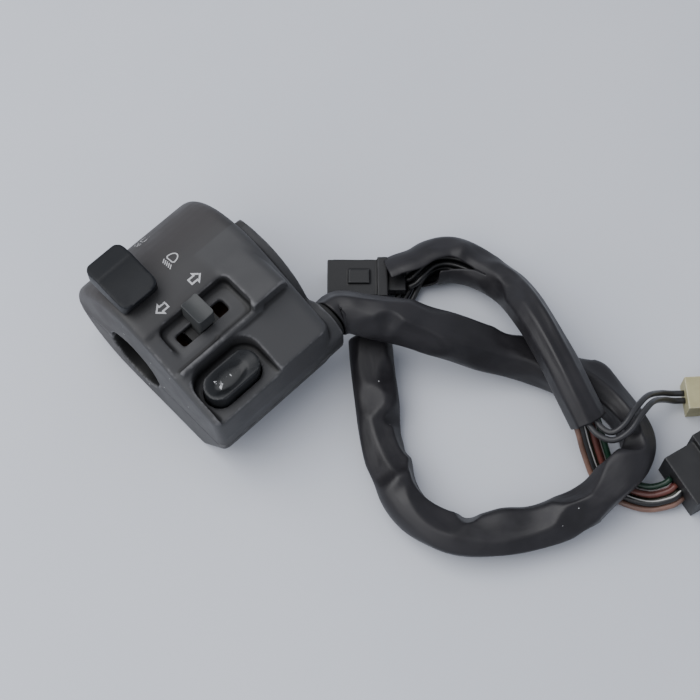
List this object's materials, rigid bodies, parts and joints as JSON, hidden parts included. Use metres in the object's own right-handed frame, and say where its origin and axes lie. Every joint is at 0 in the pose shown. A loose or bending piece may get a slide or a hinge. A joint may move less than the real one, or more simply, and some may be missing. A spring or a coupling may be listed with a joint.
{
  "type": "handlebar switch cluster",
  "caption": "Motorcycle handlebar switch housing with a dimmer rocker, a sliding turn signal knob, a horn button, and a sleeved wiring loom with connectors.",
  "frame": {"origin": "on the handlebar axis, midway along the clamped bore", "axes": "+X along the bar toward the middle of the motorcycle, +Y up along the housing toward the dimmer, +Z out of the face toward the rider"},
  "size_m": [0.1429, 0.1932, 0.0552],
  "materials": {
    "housing_plastic": "weathered charcoal moulded plastic",
    "cap_plastic": "semi-gloss black moulded plastic",
    "knob_plastic": "grey moulded plastic, worn",
    "button_plastic": "semi-gloss dark moulded plastic",
    "base_phenolic": "brown phenolic",
    "slider_nylon": "natural nylon",
    "screw_steel": "zinc plated",
    "pin_steel": "ground",
    "spring_steel": "drawn wire",
    "contact_brass": "stamped brass",
    "contact_copper": "copper alloy strip",
    "grommet_rubber": "moulded rubber",
    "sleeve_pvc": "soft black vinyl sleeve",
    "wire_pvc": "coloured vinyl insulation",
    "black_nylon": "black nylon",
    "white_nylon": "yellowed natural nylon"
  },
  "bodies": {
    "housing": {"front_housing": "housing_plastic", "rear_housing": "housing_plastic", "housing_screws": "screw_steel", "cable_grommet": "grommet_rubber", "dimmer_pivot_pin": "pin_steel", "dimmer_base": "base_phenolic", "dimmer_base_screws": "screw_steel", "dimmer_terminals": "contact_brass", "turn_base": "base_phenolic", "turn_base_screws": "screw_steel", "turn_terminals": "contact_brass", "turn_detent_leaf": "spring_steel", "horn_spring": "spring_steel", "horn_base": "base_phenolic", "horn_base_screws": "screw_steel", "horn_terminals": "contact_brass", "inner_wires": "wire_pvc", "main_sleeve": "sleeve_pvc", "branch_sleeve": "sleeve_pvc", "loom_wires": "wire_pvc", "side_connector": "black_nylon", "side_terminals": "contact_brass", "side_wires": "wire_pvc", "small_connector": "white_nylon", "small_terminals": "contact_brass", "small_wires": "wire_pvc", "main_connector": "black_nylon", "main_terminals": "contact_brass", "main_wires": "wire_pvc"},
    "rocker": {"dimmer_rocker": "cap_plastic", "dimmer_plunger": "contact_brass", "dimmer_spring": "spring_steel"},
    "dimmer_slide": {"dimmer_carriage": "slider_nylon", "dimmer_contact": "contact_copper"},
    "turn_slide_body": {"turn_slider": "slider_nylon", "turn_contact": "contact_copper", "turn_spring": "spring_steel"},
    "knob": {"turn_knob": "knob_plastic"},
    "horn": {"horn_button": "button_plastic", "horn_contact": "contact_copper"}
  },
  "joints": [
    {"name": "dimmer_rock", "type": "hinge", "parent": "housing", "child": "rocker", "pos_m": [-0.0175, 0.0095, 0.0218], "axis": [-1, 0, 0], "range_deg": [0, 12]},
    {"name": "dimmer_shift", "type": "slide", "parent": "housing", "child": "dimmer_slide", "axis": [0, -1, 0], "range_m": [0, 0.0014]},
    {"name": "turn_slide", "type": "slide", "parent": "housing", "child": "turn_slide_body", "axis": [1, 0, 0], "range_m": [-0.005, 0.005], "stiffness_N_per_m": 300},
    {"name": "turn_cancel", "type": "slide", "parent": "turn_slide_body", "child": "knob", "axis": [0, 0, -1], "range_m": [0, 0.0015], "stiffness_N_per_m": 600, "springref_m": -0.002, "deforming": ["turn_spring"]},
    {"name": "horn_press", "type": "slide", "parent": "housing", "child": "horn", "axis": [0, 0, -1], "range_m": [0, 0.0022], "stiffness_N_per_m": 800, "springref_m": -0.003, "deforming": ["horn_spring"]}
  ],
  "couplings": [
    {"joint": "dimmer_shift", "follows": "dimmer_rock", "m_per_rad": 0.0063}
  ]
}
